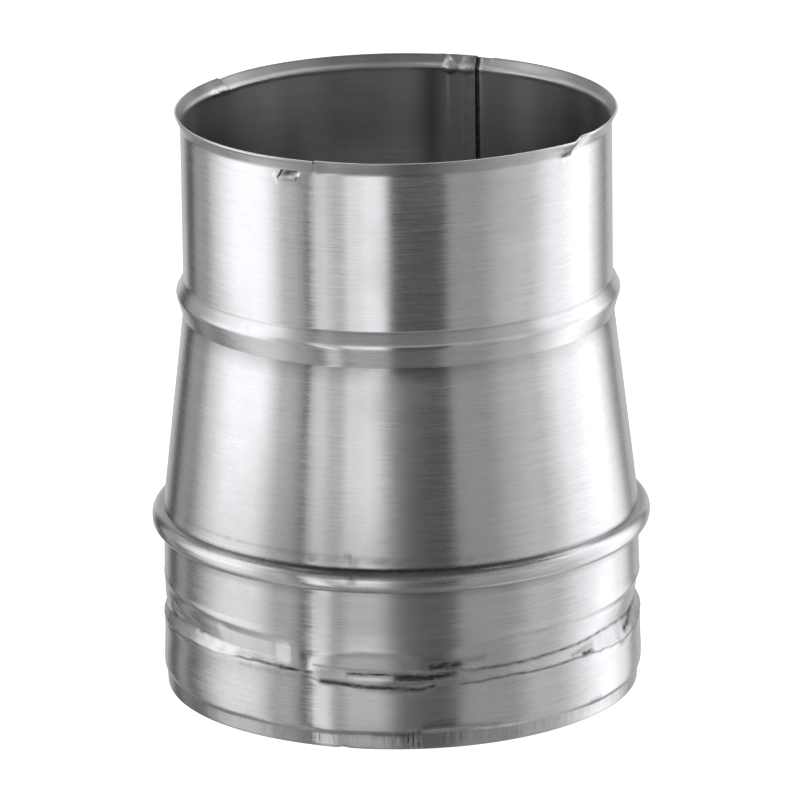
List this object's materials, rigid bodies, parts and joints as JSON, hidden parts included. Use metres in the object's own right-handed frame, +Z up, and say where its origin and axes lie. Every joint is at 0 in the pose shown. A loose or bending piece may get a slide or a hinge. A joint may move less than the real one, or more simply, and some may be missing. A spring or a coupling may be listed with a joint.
{
  "type": "flue transition adapter",
  "caption": "Tapered round sheet-steel flue adapter joining a narrower pipe above to a wider one below, with a flared socket lip, rolled beads and a twist-lock spigot.",
  "frame": {"origin": "on the duct axis, in the plane of the bottom rim", "axes": "+Z up along the duct axis towards the flared socket, -Y towards the side the picture shows, +X to the picture's right"},
  "size_m": [0.1752, 0.1752, 0.207],
  "materials": {
    "stainless": "bare brushed stainless sheet, brushed round the axis, lightly smudged, grime in the creases"
  },
  "bodies": {
    "root": {"adapter_shell": "stainless"}
  },
  "joints": []
}
